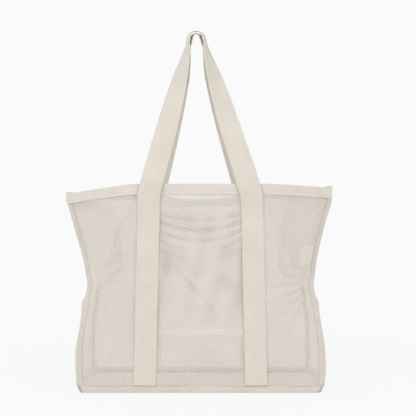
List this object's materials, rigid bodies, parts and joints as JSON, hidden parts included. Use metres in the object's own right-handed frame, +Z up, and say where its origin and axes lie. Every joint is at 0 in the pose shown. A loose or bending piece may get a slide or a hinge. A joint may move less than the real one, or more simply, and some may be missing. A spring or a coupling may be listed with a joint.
{
  "type": "mesh beach tote bag",
  "caption": "Beige open-mesh beach tote with webbing straps that run down both sides of the bag, two carrying loops, folding side gussets, a flat mesh bottom and an inner pocket.",
  "frame": {"origin": "middle of the bag's flat bottom, on the surface it stands on", "axes": "+Z up through the mouth to the carrying loops, +X to the bag's right seen from the front, the front with the pocket and the label faces -Y"},
  "size_m": [0.5014, 0.1722, 0.6616],
  "materials": {
    "mesh": "fine see-through beige polyester mesh",
    "hem": "beige woven edge tape, matt",
    "webbing": "beige twill webbing, matt",
    "lining": "thin off-white plain weave, creased",
    "label": "blank cream label cloth"
  },
  "bodies": {
    "bag_body": {"front_mesh_panel": "mesh", "front_top_hem": "hem", "front_bottom_binding": "hem", "front_left_strap": "webbing", "front_left_seam_tape": "hem", "front_right_strap": "webbing", "front_right_seam_tape": "hem", "back_mesh_panel": "mesh", "back_top_hem": "hem", "back_bottom_binding": "hem", "back_left_strap": "webbing", "back_left_seam_tape": "hem", "back_right_strap": "webbing", "back_right_seam_tape": "hem", "left_gusset": "mesh", "left_gusset_hem": "hem", "left_bottom_binding": "hem", "right_gusset": "mesh", "right_gusset_hem": "hem", "right_bottom_binding": "hem", "bottom_panel": "mesh", "inner_pocket_panel": "lining", "pocket_bottom_hem": "lining", "pocket_top_hem": "lining", "side_label": "label"},
    "front_handle": {"front_handle": "webbing"},
    "back_handle": {"back_handle": "webbing"}
  },
  "joints": [
    {"name": "front_handle_hinge", "type": "hinge", "parent": "bag_body", "child": "front_handle", "pos_m": [0, -0.0833, 0.327], "axis": [1, 0, 0], "range_deg": [0, 150]},
    {"name": "back_handle_hinge", "type": "hinge", "parent": "bag_body", "child": "back_handle", "pos_m": [0, 0.0833, 0.327], "axis": [-1, 0, 0], "range_deg": [0, 150]}
  ]
}
